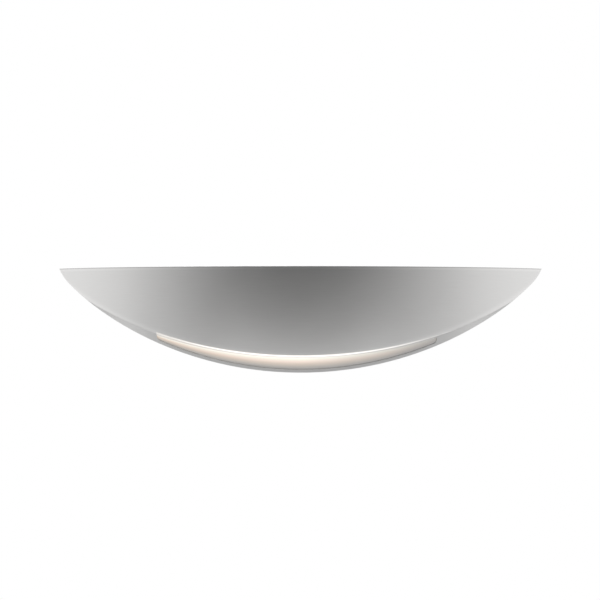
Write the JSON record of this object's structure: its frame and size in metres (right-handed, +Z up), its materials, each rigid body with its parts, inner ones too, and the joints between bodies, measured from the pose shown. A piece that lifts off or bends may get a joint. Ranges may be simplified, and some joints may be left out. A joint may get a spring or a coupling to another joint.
{
  "type": "uplighter wall sconce",
  "caption": "Half-moon metal wall uplighter, open at the top, with a lit slot under its front edge, hung on a wall plate with a screw-in lamp.",
  "frame": {"origin": "middle of the two wall-fixing slots, on the wall's face", "axes": "+X along the wall, to the right as seen from the room; +Y into the wall; +Z up"},
  "size_m": [0.4, 0.125, 0.0836],
  "materials": {
    "satin_nickel_steel": "satin nickel plated steel, fine level grain",
    "opal_diffuser": "opal heat-formed acrylic, satin, lit from behind",
    "zinc_plated_steel": "bright zinc plated pressed steel",
    "black_rubber": "matt moulded rubber",
    "white_nylon": "moulded nylon",
    "brass": "turned brass",
    "plated_screws": "bright zinc plated",
    "nickel_screws": "nickel plated, knurled",
    "tinned_copper": "tinned",
    "black_phenolic": "moulded phenolic",
    "porcelain": "glazed",
    "brown_sleeving": "silicone sleeved lead",
    "blue_sleeving": "silicone sleeved lead",
    "green_sleeving": "green and yellow sleeved lead",
    "frosted_glass": "inside-frosted bulb glass",
    "cap_metal": "rolled bulb cap",
    "black_glass": "vitrite insulator",
    "spring_steel": "spring steel, plain"
  },
  "bodies": {
    "wall_mount": {"wall_plate": "zinc_plated_steel", "cable_grommet": "black_rubber", "terminal_block": "white_nylon", "terminal_bars": "brass", "terminal_screws": "plated_screws", "terminal_block_screws": "plated_screws", "earth_screw": "brass", "earth_washer": "brass", "earth_tag": "tinned_copper", "earth_nut": "brass", "lampholder_arm": "zinc_plated_steel", "arm_screws": "plated_screws", "lampholder_cover": "black_phenolic", "lampholder_skirt": "black_phenolic", "lampholder_insert": "porcelain", "thread_sleeve": "brass", "centre_contact": "brass", "lampholder_nipple": "brass", "nipple_nut": "brass", "live_wire": "brown_sleeving", "neutral_wire": "blue_sleeving", "earth_wire": "green_sleeving"},
    "bulb": {"bulb_glass": "frosted_glass", "bulb_cap": "cap_metal", "bulb_insulator": "black_glass", "bulb_contact": "tinned_copper"},
    "shade": {"shade_shell": "satin_nickel_steel", "slot_diffuser": "opal_diffuser", "diffuser_clips": "spring_steel", "clip_studs": "plated_screws", "clip_nuts": "plated_screws", "left_tab": "zinc_plated_steel", "right_tab": "zinc_plated_steel", "left_captive_nut": "plated_screws", "right_captive_nut": "plated_screws"},
    "left_screw": {"left_retaining_screw": "nickel_screws"},
    "right_screw": {"right_retaining_screw": "nickel_screws"}
  },
  "joints": [
    {"name": "shade_pull", "type": "slide", "parent": "wall_mount", "child": "shade", "axis": [0, -0.9945, 0.1045], "range_m": [0, 0.15]},
    {"name": "bulb_turn", "type": "hinge", "parent": "wall_mount", "child": "bulb", "pos_m": [0, -0.06, 0], "axis": [-1, 0, 0], "range_deg": [0, 1440]},
    {"name": "left_screw_turn", "type": "hinge", "parent": "shade", "child": "left_screw", "pos_m": [-0.12, -0.014, 0], "axis": [-1, 0, 0], "range_deg": [0, 720]},
    {"name": "right_screw_turn", "type": "hinge", "parent": "shade", "child": "right_screw", "pos_m": [0.12, -0.014, 0], "axis": [1, 0, 0], "range_deg": [0, 720]}
  ]
}
